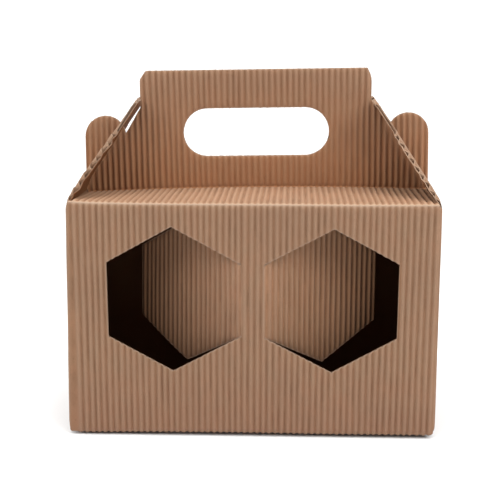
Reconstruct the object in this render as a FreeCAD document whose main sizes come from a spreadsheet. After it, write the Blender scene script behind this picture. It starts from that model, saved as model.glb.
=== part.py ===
# Gable carrier carton for two jars, folded from one die-cut sheet of open-flute
# (single-face) corrugated board.
#
# Frame: +Z up, front wall on the -Y side, origin at the centre of the resting face.
# Lengths in millimetres.
#
# The sheet's main part (walls, bottom flaps, top panels and the two handle
# panels) is one folded solid. The four flaps of the same sheet that swing on
# their own creases are separate nodes: two end flaps that hook over the handle
# ears, and two hexagonal window flaps pushed in from the front wall.
import FreeCAD, Part
import math
import os
import Sketcher

os.makedirs("parts", exist_ok=True)
doc = FreeCAD.newDocument("gable_carrier")
V = FreeCAD.Vector

# ---------------------------------------------------------------- dimensions
sheet = doc.addObject("Spreadsheet::Sheet", "Dims")
DIMS = [
    ("box_wide", 200.0, "outer width, X"),
    ("box_deep", 108.0, "outer depth, Y"),
    ("box_high", 128.0, "height of the top fold line"),
    ("board", 1.6, "board over the flutes"),
    ("bend_out", 2.0, "outer radius of a fold"),
    ("bend_in", 0.4, "inner radius of a fold"),
    ("top_bend", 1.7, "outer radius of the top folds"),
    ("top_inner", 0.2, "inner radius of the top folds"),
    ("crease", 1.05, "half width of a hinge crease"),
    ("rise", 1.0, "rise of the top panels to the handle"),
    ("layer_gap", 0.4, "gap between the two handle panels"),
    ("panel_half", 96.6, "half width of a top panel"),
    ("ear_half", 97.6, "half width over the handle ears"),
    ("ear_top", 43.8, "top of an ear above the top fold"),
    ("ear_rad", 11.5, "rounding of an ear"),
    ("notch_x", 74.5, "inner side of an ear"),
    ("notch_z", 31.6, "bottom of the hook notch above the top fold"),
    ("notch_top", 47.2, "top of the hook notch above the top fold"),
    ("grip_half", 65.8, "half width of the handle grip"),
    ("grip_top", 69.0, "top of the handle above the top fold"),
    ("grip_rad", 5.0, "corner of the handle"),
    ("hole_half", 41.1, "half length of the hand hole"),
    ("hole_rad", 13.6, "end radius of the hand hole"),
    ("hole_mid", 34.0, "middle of the hand hole above the top fold"),
    ("win_hinge", 7.2, "window crease from the middle of the front"),
    ("win_reach", 71.2, "crease to far side of a window"),
    ("win_side", 39.6, "length of a window's upright side"),
    ("win_tall", 78.2, "height of a window over its points"),
    ("win_mid", 75.3, "middle of a window above the base"),
    ("kerf", 0.4, "gap round a window flap"),
    ("left_push", 35.0, "rest angle of the left window flap, degrees"),
    ("right_push", 29.0, "rest angle of the right window flap, degrees"),
    ("left_lean", 56.5, "rest angle of the left end flap above level, degrees"),
    ("right_lean", 58.5, "rest angle of the right end flap above level, degrees"),
    ("end_root", 52.0, "half width of an end flap at its crease"),
    ("end_shoulder", 24.5, "half width of an end flap at its shoulder"),
    ("shoulder_at", 38.5, "shoulder from the crease line"),
    ("neck_half", 21.0, "half width of the hook bar"),
    ("neck_at", 41.5, "start of the hook bar from the crease line"),
    ("end_reach", 58.6, "tip of an end flap from the crease line"),
    ("tip_half", 20.0, "half width of the tip"),
    ("tip_rad", 3.0, "corner of the tip"),
    ("slot_half", 2.6, "half width of the ear slot"),
    ("slot_end", 47.6, "end of the ear slot from the crease line"),
    ("lock_front", 46.0, "reach of the front bottom flap"),
    ("lock_gap", 0.4, "gap between bottom flaps"),
    ("lock_half", 30.0, "half width of the bottom notch"),
    ("lock_deep", 14.0, "depth of the bottom notch"),
    ("tongue_reach", 74.0, "reach of the tongue from the front wall"),
    ("tongue_half", 27.0, "half width of the tongue"),
    ("dust_reach", 46.0, "reach of a side bottom flap"),
    ("dust_root", 50.0, "half width of a side bottom flap at its fold"),
    ("dust_tip", 28.0, "half width of a side bottom flap at its free edge"),
]
for row, (alias, value, note) in enumerate(DIMS, start=1):
    sheet.set("A%d" % row, alias)
    sheet.set("B%d" % row, repr(value))
    sheet.set("C%d" % row, note)
    sheet.setAlias("B%d" % row, alias)
doc.recompute()


# ------------------------------------------------------------------- helpers
def plane_of(body, role):
    return [f for f in body.Origin.OriginFeatures if f.Role == role][0]


def new_sketch(body, name, role, offset=None):
    """A sketch flat on one of the body's own origin planes, moved along its normal."""
    sk = body.newObject("Sketcher::SketchObject", name)
    sk.AttachmentSupport = [(plane_of(body, role), "")]
    sk.MapMode = "FlatFace"
    if offset:
        sk.setExpression("AttachmentOffset.Base.z", offset)
    doc.recompute()
    return sk


def value_of(expr):
    """Number that an expression on the sheet has, for a sketch's first guess."""
    names = {a: v for a, v, _ in DIMS}
    total = 0.0
    for term in expr.replace("-", "+-").split("+"):
        term = term.strip()
        if not term:
            continue
        sign = 1.0
        if term.startswith("-"):
            sign, term = -1.0, term[1:].strip()
        factor = sign
        for piece in term.split("*"):
            for k, bit in enumerate(piece.split("/")):
                bit = bit.strip()
                num = names[bit[5:]] if bit.startswith("Dims.") else float(bit)
                factor = factor / num if k else factor * num
        total += factor
    return total


def fix_point(sk, geo, pos, ex, ey):
    """Place one sketch point from the sketch's origin by two sheet expressions."""
    for kind, ex_ in (("DistanceX", ex), ("DistanceY", ey)):
        if ex_ is None:
            continue
        c = sk.addConstraint(Sketcher.Constraint(kind, -1, 1, geo, pos, value_of(ex_)))
        sk.setExpression("Constraints[%d]" % c, ex_)


def polygon(sk, pts):
    """Closed outline through points given as pairs of sheet expressions."""
    start = sk.GeometryCount
    xy = [V(value_of(a), value_of(b), 0) for a, b in pts]
    n = len(pts)
    for i in range(n):
        sk.addGeometry(Part.LineSegment(xy[i], xy[(i + 1) % n]), False)
    for i in range(n):
        sk.addConstraint(Sketcher.Constraint("Coincident", start + i, 2, start + (i + 1) % n, 1))
    for i in range(n):
        fix_point(sk, start + i, 1, pts[i][0], pts[i][1])


def pad(body, sk, name, length):
    f = body.newObject("PartDesign::Pad", name)
    f.Profile = sk
    f.setExpression("Length", length)
    doc.recompute()
    return f


def pocket(body, sk, name, length):
    before = body.Shape.Volume
    f = body.newObject("PartDesign::Pocket", name)
    f.Profile = sk
    f.setExpression("Length", length)
    doc.recompute()
    if not before - body.Shape.Volume > 0.5:
        raise RuntimeError(name + " cuts nothing")
    return f


def edges_at(shape, along, **where):
    """Names of straight edges parallel to one axis whose middle is at a place."""
    found = []
    for i, e in enumerate(shape.Edges, start=1):
        if e.Curve.TypeId != "Part::GeomLine":
            continue
        d = e.tangentAt(e.FirstParameter)
        if abs(abs(getattr(d, along)) - 1) > 1e-6:
            continue
        m = (e.Vertexes[0].Point + e.Vertexes[-1].Point) * 0.5
        if all(abs(getattr(m, k) - v) < 0.05 for k, v in where.items()):
            found.append("Edge%d" % i)
    return found


def fillet(body, name, base, places, radius):
    names = []
    for along, where in places:
        hit = edges_at(base.Shape, along, **where)
        if not hit:
            raise RuntimeError("%s: no edge at %s" % (name, where))
        names += hit
    f = body.newObject("PartDesign::Fillet", name)
    f.Base = (base, names)
    f.setExpression("Radius", radius)
    doc.recompute()
    return f


def new_body(label):
    body = doc.addObject("PartDesign::Body", label)
    body.Label = label
    doc.recompute()
    return body


# ------------------------------------------------------------- folded carton
carton = new_body("folded_carton")

HW, HD = "Dims.box_wide/2", "Dims.box_deep/2"
nHW, nHD = "-Dims.box_wide/2", "-Dims.box_deep/2"
WALL_TOP = "Dims.box_high-Dims.board/2-Dims.crease"

# four upright walls: a tube, rounded at its four folds
sk = new_sketch(carton, "wall_plan", "XY_Plane")
polygon(sk, [(nHW, nHD), (HW, nHD), (HW, HD), (nHW, HD)])
polygon(sk, [(nHW + "+Dims.board", nHD + "+Dims.board"), (HW + "-Dims.board", nHD + "+Dims.board"),
             (HW + "-Dims.board", HD + "-Dims.board"), (nHW + "+Dims.board", HD + "-Dims.board")])
walls = pad(carton, sk, "walls", WALL_TOP)
w2, d2 = value_of(HW), value_of(HD)
bt = value_of("Dims.board")
f = fillet(carton, "wall_folds_outside", walls,
           [("z", dict(x=sx * w2, y=sy * d2)) for sx in (-1, 1) for sy in (-1, 1)], "Dims.bend_out")
f = fillet(carton, "wall_folds_inside", f,
           [("z", dict(x=sx * (w2 - bt), y=sy * (d2 - bt))) for sx in (-1, 1) for sy in (-1, 1)], "Dims.bend_in")

# each top panel and its handle panel: the folded section, run along X
for side, s, t in (("front", "-", ""), ("rear", "", "-")):
    # s: sign of the outside of the box on this side, t: the sign towards the middle
    def y(expr, s=s):
        """A distance from the middle plane, given as sheet terms, on this side."""
        if s == "":
            return expr
        flipped = []
        for term in expr.replace("-", "+-").split("+"):
            if term:
                flipped.append(term[1:] if term.startswith("-") else "-" + term)
        return "+".join(flipped).replace("+-", "-")
    sk = new_sketch(carton, side + "_fold_section", "YZ_Plane", "-Dims.ear_half")
    polygon(sk, [
        (y("Dims.box_deep/2"), "Dims.box_high-10"),
        (y("Dims.box_deep/2"), "Dims.box_high"),
        (y("Dims.board+Dims.layer_gap/2"), "Dims.box_high+Dims.rise"),
        (y("Dims.board+Dims.layer_gap/2"), "Dims.box_high+Dims.grip_top"),
        (y("Dims.layer_gap/2"), "Dims.box_high+Dims.grip_top"),
        (y("Dims.layer_gap/2"), "Dims.box_high+Dims.rise-Dims.board"),
        (y("Dims.box_deep/2-Dims.board"), "Dims.box_high-Dims.board"),
        (y("Dims.box_deep/2-Dims.board"), "Dims.box_high-10"),
    ])
    f = pad(carton, sk, side + "_panels", "2*Dims.ear_half")

sg = value_of("Dims.layer_gap/2")
H = value_of("Dims.box_high")
rise = value_of("Dims.rise")
f = fillet(carton, "top_folds_outside", f, [("x", dict(y=-d2, z=H)), ("x", dict(y=d2, z=H))], "Dims.top_bend")
f = fillet(carton, "top_folds_inside", f,
           [("x", dict(y=-(d2 - bt), z=H - bt)), ("x", dict(y=d2 - bt, z=H - bt))], "Dims.top_inner")
f = fillet(carton, "handle_folds_under", f,
           [("x", dict(y=-sg, z=H + rise - bt)), ("x", dict(y=sg, z=H + rise - bt))], "Dims.top_bend")
f = fillet(carton, "handle_folds_over", f,
           [("x", dict(y=-(sg + bt), z=H + rise)), ("x", dict(y=sg + bt, z=H + rise))], "Dims.top_inner")

# the top panels are cut narrower than the handle foot, clear of the end flaps
sk = new_sketch(carton, "panel_trim_plan", "XY_Plane", "Dims.box_high+Dims.rise+4")
for sx in ("-", ""):
    for sy in ("-", ""):
        polygon(sk, [(sx + "Dims.panel_half", sy + "2.1"), (sx + "120", sy + "2.1"),
                     (sx + "120", sy + "52.3"), (sx + "Dims.panel_half", sy + "52.3")])
f = pocket(carton, sk, "panel_trim", "Dims.rise+4+Dims.board+0.2")

# handle outline: ears, hook notches and the grip between them
sk = new_sketch(carton, "handle_outline", "XZ_Plane", "6")
for sx in ("-", ""):
    polygon(sk, [
        (sx + "120", "Dims.box_high+Dims.grip_top+5"),
        (sx + "120", "Dims.box_high+Dims.ear_top"),
        (sx + "Dims.notch_x", "Dims.box_high+Dims.ear_top"),
        (sx + "Dims.notch_x", "Dims.box_high+Dims.notch_z"),
        (sx + "Dims.grip_half", "Dims.box_high+Dims.notch_top"),
        (sx + "Dims.grip_half", "Dims.box_high+Dims.grip_top+5"),
    ])
f = pocket(carton, sk, "handle_cut", "12")
ez = H + value_of("Dims.ear_top")
ears = []
for sx in (-1, 1):
    for yy in (-(sg + bt / 2), sg + bt / 2):
        ears.append(("y", dict(x=sx * value_of("Dims.ear_half"), y=yy, z=ez)))
        ears.append(("y", dict(x=sx * value_of("Dims.notch_x"), y=yy, z=ez)))
f = fillet(carton, "ear_rounds", f, ears, "Dims.ear_rad")
gz = H + value_of("Dims.grip_top")
f = fillet(carton, "grip_corners", f,
           [("y", dict(x=sx * value_of("Dims.grip_half"), y=yy, z=gz))
            for sx in (-1, 1) for yy in (-(sg + bt / 2), sg + bt / 2)], "Dims.grip_rad")

# hand hole through both handle panels: a straight slot with round ends
sk = new_sketch(carton, "hand_hole_outline", "XZ_Plane", "6")
hc, hr, hz = value_of("Dims.hole_half-Dims.hole_rad"), value_of("Dims.hole_rad"), H + value_of("Dims.hole_mid")
sk.addGeometry(Part.ArcOfCircle(Part.Circle(V(-hc, hz, 0), V(0, 0, 1), hr), math.pi / 2, 3 * math.pi / 2), False)
sk.addGeometry(Part.LineSegment(V(-hc, hz - hr, 0), V(hc, hz - hr, 0)), False)
sk.addGeometry(Part.ArcOfCircle(Part.Circle(V(hc, hz, 0), V(0, 0, 1), hr), -math.pi / 2, math.pi / 2), False)
sk.addGeometry(Part.LineSegment(V(hc, hz + hr, 0), V(-hc, hz + hr, 0)), False)
for a, pa, b, pb in ((0, 2, 1, 1), (1, 2, 2, 1), (2, 2, 3, 1), (3, 2, 0, 1)):
    sk.addConstraint(Sketcher.Constraint("Coincident", a, pa, b, pb))
mid = "Dims.box_high+Dims.hole_mid"
fix_point(sk, 0, 3, "-Dims.hole_half+Dims.hole_rad", mid)
fix_point(sk, 2, 3, "Dims.hole_half-Dims.hole_rad", mid)
for geo in (0, 2):
    c = sk.addConstraint(Sketcher.Constraint("Radius", geo, hr))
    sk.setExpression("Constraints[%d]" % c, "Dims.hole_rad")
for geo, sx in ((0, "-Dims.hole_half+Dims.hole_rad"), (2, "Dims.hole_half-Dims.hole_rad")):
    for pos in (1, 2):
        fix_point(sk, geo, pos, sx, None)
f = pocket(carton, sk, "hand_hole", "12")

# two hexagonal windows through the front wall; the inner upright side is a crease
sk = new_sketch(carton, "window_outline", "XZ_Plane", "Dims.box_deep/2+4")
for inner, middle, far in (
        ("Dims.crease-Dims.win_hinge", "-Dims.win_hinge-Dims.win_reach/2", "-Dims.win_hinge-Dims.win_reach"),
        ("Dims.win_hinge-Dims.crease", "Dims.win_hinge+Dims.win_reach/2", "Dims.win_hinge+Dims.win_reach")):
    polygon(sk, [
        (inner, "Dims.win_mid-Dims.win_side/2"), (inner, "Dims.win_mid+Dims.win_side/2"),
        (middle, "Dims.win_mid+Dims.win_tall/2"), (far, "Dims.win_mid+Dims.win_side/2"),
        (far, "Dims.win_mid-Dims.win_side/2"), (middle, "Dims.win_mid-Dims.win_tall/2"),
    ])
f = pocket(carton, sk, "windows", "4+Dims.board+2")

# bottom, locked flat: the rear flap with its notch and the front flap lie
# outermost, the two side flaps lie on them, and the front flap's tongue
# passes through the notch and lies on the rear flap
IN = "-Dims.box_wide/2+Dims.board+0.8"
PIN = "Dims.box_wide/2-Dims.board-0.8"
EDGE = "-Dims.box_deep/2+Dims.lock_front"
sk = new_sketch(carton, "rear_bottom_plan", "XY_Plane")
polygon(sk, [
    (IN, "Dims.box_deep/2-1"), (IN, EDGE + "+Dims.lock_gap"),
    ("-Dims.lock_half", EDGE + "+Dims.lock_gap"), ("-Dims.lock_half", EDGE + "+Dims.lock_deep"),
    ("Dims.lock_half", EDGE + "+Dims.lock_deep"), ("Dims.lock_half", EDGE + "+Dims.lock_gap"),
    (PIN, EDGE + "+Dims.lock_gap"), (PIN, "Dims.box_deep/2-1"),
])
f = pad(carton, sk, "rear_bottom_flap", "Dims.board")
sk = new_sketch(carton, "front_bottom_plan", "XY_Plane")
polygon(sk, [
    (IN, "-Dims.box_deep/2+1"), (PIN, "-Dims.box_deep/2+1"), (PIN, EDGE),
    ("Dims.tongue_half", EDGE), ("Dims.tongue_half", EDGE + "+5"),
    ("-Dims.tongue_half", EDGE + "+5"), ("-Dims.tongue_half", EDGE), (IN, EDGE),
])
f = pad(carton, sk, "front_bottom_flap", "Dims.board")
sk = new_sketch(carton, "tongue_section", "YZ_Plane", "-Dims.tongue_half")
polygon(sk, [
    (EDGE + "+2", "0"), (EDGE + "+5", "0"), (EDGE + "+10", "Dims.board+Dims.lock_gap"),
    ("-Dims.box_deep/2+Dims.tongue_reach", "Dims.board+Dims.lock_gap"),
    ("-Dims.box_deep/2+Dims.tongue_reach", "2*Dims.board+Dims.lock_gap"),
    (EDGE + "+9.3", "2*Dims.board+Dims.lock_gap"), (EDGE + "+4.3", "Dims.board"), (EDGE + "+2", "Dims.board"),
])
f = pad(carton, sk, "tongue", "2*Dims.tongue_half")
sk = new_sketch(carton, "side_bottom_plan", "XY_Plane", "Dims.board+Dims.lock_gap")
for sx in ("-", ""):
    root = "-Dims.box_wide/2+1" if sx else "Dims.box_wide/2-1"
    tip = "-Dims.box_wide/2+Dims.dust_reach" if sx else "Dims.box_wide/2-Dims.dust_reach"
    polygon(sk, [(root, "-Dims.dust_root"), (tip, "-Dims.dust_tip"), (tip, "Dims.dust_tip"), (root, "Dims.dust_root")])
f = pad(carton, sk, "side_bottom_flaps", "Dims.board")
f = fillet(carton, "bottom_folds", f,
           [("x", dict(y=-d2, z=0)), ("x", dict(y=d2, z=0)), ("y", dict(x=-w2, z=0)), ("y", dict(x=w2, z=0))], "1.2")
carton.Tip = f


# ----------------------------------------------------------------- end flaps
# A tapering flap with a closed slot for the ears, and a bar beyond the slot
# that hooks behind them. Drawn flat from its crease line, then leaned inwards.
def end_flap(label, sx, pivot_x, axis, lean):
    body = new_body(label)
    sk = new_sketch(body, label + "_outline", "XY_Plane", "-Dims.board/2")
    outline = [
        ("Dims.crease", "-Dims.end_root"), ("Dims.shoulder_at", "-Dims.end_shoulder"),
        ("Dims.neck_at", "-Dims.neck_half"), ("Dims.end_reach", "-Dims.tip_half"),
        ("Dims.end_reach", "Dims.tip_half"), ("Dims.neck_at", "Dims.neck_half"),
        ("Dims.shoulder_at", "Dims.end_shoulder"), ("Dims.crease", "Dims.end_root"),
        ("Dims.crease", "Dims.slot_half"), ("Dims.slot_end", "Dims.slot_half"),
        ("Dims.slot_end", "-Dims.slot_half"), ("Dims.crease", "-Dims.slot_half"),
    ]
    polygon(sk, [(sx + a, b) for a, b in outline])
    p = pad(body, sk, label + "_board", "Dims.board")
    s = -1 if sx else 1
    fl = fillet(body, label + "_tip_corners", p,
                [("z", dict(x=s * value_of("Dims.end_reach"), y=k * value_of("Dims.tip_half"))) for k in (-1, 1)],
                "Dims.tip_rad")
    fl = fillet(body, label + "_slot_corners", fl,
                [("z", dict(x=s * value_of("Dims.slot_end"), y=k * value_of("Dims.slot_half"))) for k in (-1, 1)], "1")
    body.Tip = fl
    body.Placement = FreeCAD.Placement(V(0, 0, 0), FreeCAD.Rotation(axis, 57))
    body.setExpression("Placement.Base.x", pivot_x)
    body.setExpression("Placement.Base.z", "Dims.box_high-Dims.board/2")
    body.setExpression("Placement.Rotation.Angle", lean + " * 1 deg")
    doc.recompute()
    return body


end_flap("left_end_flap", "", "-Dims.box_wide/2+Dims.board/2", V(0, -1, 0), "Dims.left_lean")
end_flap("right_end_flap", "-", "Dims.box_wide/2-Dims.board/2", V(0, 1, 0), "Dims.right_lean")


# -------------------------------------------------------------- window flaps
# The hexagon cut on five sides and pushed in on its inner upright crease.
def window_flap(label, sx, pivot_x, axis, push):
    body = new_body(label)
    sk = new_sketch(body, label + "_outline", "XZ_Plane", "-Dims.board/2")
    minus = "-" if sx else ""
    root = minus + "Dims.crease"
    half = minus + "Dims.win_reach/2"
    far = "Dims.kerf-Dims.win_reach" if sx else "Dims.win_reach-Dims.kerf"
    polygon(sk, [
        (root, "-Dims.win_side/2"), (half, "-Dims.win_tall/2+1.15*Dims.kerf"),
        (far, "-Dims.win_side/2+0.6*Dims.kerf"), (far, "Dims.win_side/2-0.6*Dims.kerf"),
        (half, "Dims.win_tall/2-1.15*Dims.kerf"), (root, "Dims.win_side/2"),
    ])
    p = pad(body, sk, label + "_board", "Dims.board")
    body.Tip = p
    body.Placement = FreeCAD.Placement(V(0, 0, 0), FreeCAD.Rotation(axis, 30))
    body.setExpression("Placement.Base.x", pivot_x)
    body.setExpression("Placement.Base.y", "-Dims.box_deep/2+Dims.board/2")
    body.setExpression("Placement.Base.z", "Dims.win_mid")
    body.setExpression("Placement.Rotation.Angle", push + " * 1 deg")
    doc.recompute()
    return body


window_flap("left_window_flap", "-", "-Dims.win_hinge", V(0, 0, -1), "Dims.left_push")
window_flap("right_window_flap", "", "Dims.win_hinge", V(0, 0, 1), "Dims.right_push")

# -------------------------------------------------------------------- checks
doc.recompute()
for obj in doc.Objects:
    if "Invalid" in obj.State or "Error" in obj.State:
        raise RuntimeError("%s is %s" % (obj.Name, obj.State))
nodes = [o for o in doc.Objects if o.TypeId == "PartDesign::Body"]
for node in nodes:
    shape = node.Shape
    if shape.isNull() or not shape.isValid() or len(shape.Solids) != 1:
        raise RuntimeError(node.Label + " is not one valid solid")
for node in nodes:
    shape = node.Shape
    bb = shape.BoundBox
    print("%-18s volume %9.1f mm3  x %7.2f %7.2f  y %7.2f %7.2f  z %7.2f %7.2f  faces %d" % (
        node.Label, shape.Volume, bb.XMin, bb.XMax, bb.YMin, bb.YMax, bb.ZMin, bb.ZMax, len(shape.Faces)))
    shape.exportStep("parts/%s.step" % node.Label)
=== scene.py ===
import math

import bpy
import numpy as np
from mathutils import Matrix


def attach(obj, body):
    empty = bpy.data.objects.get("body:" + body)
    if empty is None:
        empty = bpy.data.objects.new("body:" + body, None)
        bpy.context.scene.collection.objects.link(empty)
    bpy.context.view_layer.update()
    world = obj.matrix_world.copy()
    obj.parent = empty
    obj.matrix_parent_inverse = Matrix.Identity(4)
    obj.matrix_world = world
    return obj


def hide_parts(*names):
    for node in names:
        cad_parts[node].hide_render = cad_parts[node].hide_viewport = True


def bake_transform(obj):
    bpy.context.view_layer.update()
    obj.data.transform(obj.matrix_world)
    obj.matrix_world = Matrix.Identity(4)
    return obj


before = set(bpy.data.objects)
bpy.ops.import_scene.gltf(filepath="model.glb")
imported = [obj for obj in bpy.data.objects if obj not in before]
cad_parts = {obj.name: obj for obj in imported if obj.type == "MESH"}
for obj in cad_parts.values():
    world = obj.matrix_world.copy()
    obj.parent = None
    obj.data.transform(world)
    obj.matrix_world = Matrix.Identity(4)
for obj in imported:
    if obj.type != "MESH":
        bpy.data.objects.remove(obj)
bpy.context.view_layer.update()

# Everything below is in millimetres until a mesh is written, where it becomes metres.
MM = 0.001

# ---------------------------------------------------------------- sizes of the folded blank
HALF_W = 99.2          # middle of the board in the end walls
HALF_D = 53.2          # middle of the board in the front and rear walls
BOARD = 1.6            # flat liner and flutes together
LINER = 0.34           # the flat liner's share
PAPER = 0.28           # the fluted paper's own thickness
LOW, TALL = 0.22, 1.70  # the fluted paper's outside, over the liner and over its far side
MID = BOARD / 2
CORNER = 1.7           # mid-board radius of the four vertical corners
HIGH = 128.0
PITCH = 3.37           # one flute
VALLEY = -96.96        # a valley line on the front wall
HINGE = 1.05           # half the width of each crease that swings
ARC = CORNER * math.pi / 2
FLAT_W = HALF_W - CORNER
FLAT_D = HALF_D - CORNER
SEAM_W = FLAT_W + ARC / 2
SEAM_D = FLAT_D + ARC / 2
# middle of each wall on the way round the tube: front, right end, rear, left end
AROUND = {0: 0.0, 1: SEAM_W + SEAM_D, 2: 2 * (SEAM_W + SEAM_D), 3: -(SEAM_W + SEAM_D)}

# the two cut hexagons: (across, up) of hinge bottom, bottom, far bottom, far top, top, hinge top
WINDOW = {-1: ((6.15, 55.3), (43.5, 35.4), (78.5, 54.8), (78.5, 96.1), (43.3, 115.5), (6.15, 95.2)),
          1: ((6.15, 54.6), (42.6, 35.3), (77.7, 54.8), (78.1, 95.7), (43.5, 114.6), (6.15, 94.95))}
# how far short of its window each flap is: at the lower point and at the far edge
SHORT = {-1: (1.0, 0.95), 1: (0.0, 0.8)}
WIN_MID, WIN_SIDE = 75.3, 19.8
WIN_EDGE = 6.15


# ---------------------------------------------------------------- repeatable unevenness
def ripple(seed, count, short, long_, tall=None):
    """A smooth wandering function of one or two coordinates, about -1 to 1."""
    r = np.random.default_rng(seed)
    k = 2 * np.pi / np.exp(r.uniform(np.log(short), np.log(long_), count))
    m = np.zeros(count)
    if tall is not None:
        m = 2 * np.pi / np.exp(r.uniform(np.log(tall[0]), np.log(tall[1]), count))
        m *= np.where(r.random(count) < 0.5, -1, 1)
    ph = r.uniform(0, 2 * np.pi, count)
    a = r.uniform(0.5, 1.0, count)
    a /= np.sqrt((a ** 2).sum()) * 1.1

    def f(x, y=0.0):
        x = np.asarray(x, float)
        out = np.zeros(np.broadcast(x, np.asarray(y, float)).shape)
        for i in range(count):
            out = out + a[i] * np.sin(k[i] * x + m[i] * y + ph[i])
        return out

    return f


drift = ripple(11, 9, 14, 120)
sway = ripple(12, 12, 9, 70, (45, 190))
tall_var = ripple(13, 14, 4, 40)
tall_wave = ripple(14, 14, 5, 40, (20, 120))
lay_wave = ripple(15, 10, 30, 150, (40, 160))
tatter = ripple(16, 14, 1.7, 7, (1.7, 7))
lumps = ripple(31, 12, 3.4, 9.0)
wander = ripple(32, 12, 4.0, 12.0)

DENTS = []
_r = np.random.default_rng(21)
for _i in range(90):
    DENTS.append((_r.uniform(-205, 405), _r.uniform(6, 240), _r.uniform(0.7, 1.6),
                  _r.uniform(1.5, 6.0), _r.uniform(0.10, 0.34)))


def slant(v):
    """The flutes do not run quite square to the creases."""
    v = np.asarray(v, float)
    up = np.clip(v - 181.0, 0, None)
    return 0.10 + 0.0063 * (np.clip(v, -60, 128) - 64) - 0.0104 * up


def flute(p, v, creases):
    """Height of the fluted paper over the liner, and how much of a crest is there (0 to 1)."""
    phase = (p - slant(v) - VALLEY) / PITCH - 0.5 + 0.050 * drift(p) + 0.034 * sway(p, v)
    c = 0.5 + 0.5 * np.cos(2 * np.pi * phase)
    c = c ** 0.92
    full = TALL - LINER - LOW
    amp = full * (1 + 0.05 * tall_var(p) + 0.045 * tall_wave(p, v))
    amp = np.minimum(amp, full * 1.06)
    press = np.ones_like(p)
    for (at, wide, keep, _) in creases:
        press *= 1 - (1 - keep) * np.exp(-((v - at) / wide) ** 2)
    # the four vertical corners
    for at in (-SEAM_W, SEAM_W, SEAM_W + 2 * SEAM_D, 3 * SEAM_W + 2 * SEAM_D, -SEAM_W - 2 * SEAM_D):
        press *= 1 - 0.55 * np.exp(-((p - at) / 2.3) ** 2)
    # the two window hinges
    beside = 1 / (1 + np.exp((np.abs(v - WIN_MID) - WIN_SIDE - 0.6) / 0.5))
    press *= 1 - 0.34 * beside * np.exp(-((np.abs(p) - 7.2) / 1.1) ** 2)
    for (dp, dv, wp, wv, deep) in DENTS:
        press *= 1 - deep * np.exp(-((p - dp) / wp) ** 2 - ((v - dv) / wv) ** 2)
    return LINER + LOW + amp * c * press, c * press


def wear_and_highlight(v, creases):
    """Folding rubs the paper paler along a crease; where a crease has a full rub, the paler band is partly a painted
    highlight on the fold.
    """
    out = np.zeros(len(v))
    for (at, wide, _, rub_and_highlight) in creases:
        out = np.maximum(out, rub_and_highlight * np.exp(-((v - at) / (0.75 * wide)) ** 2))
    return out


RIM = 0.8               # a die cut leaves the paper paler for about this far
EDGE_RUB = 0.75


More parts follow.
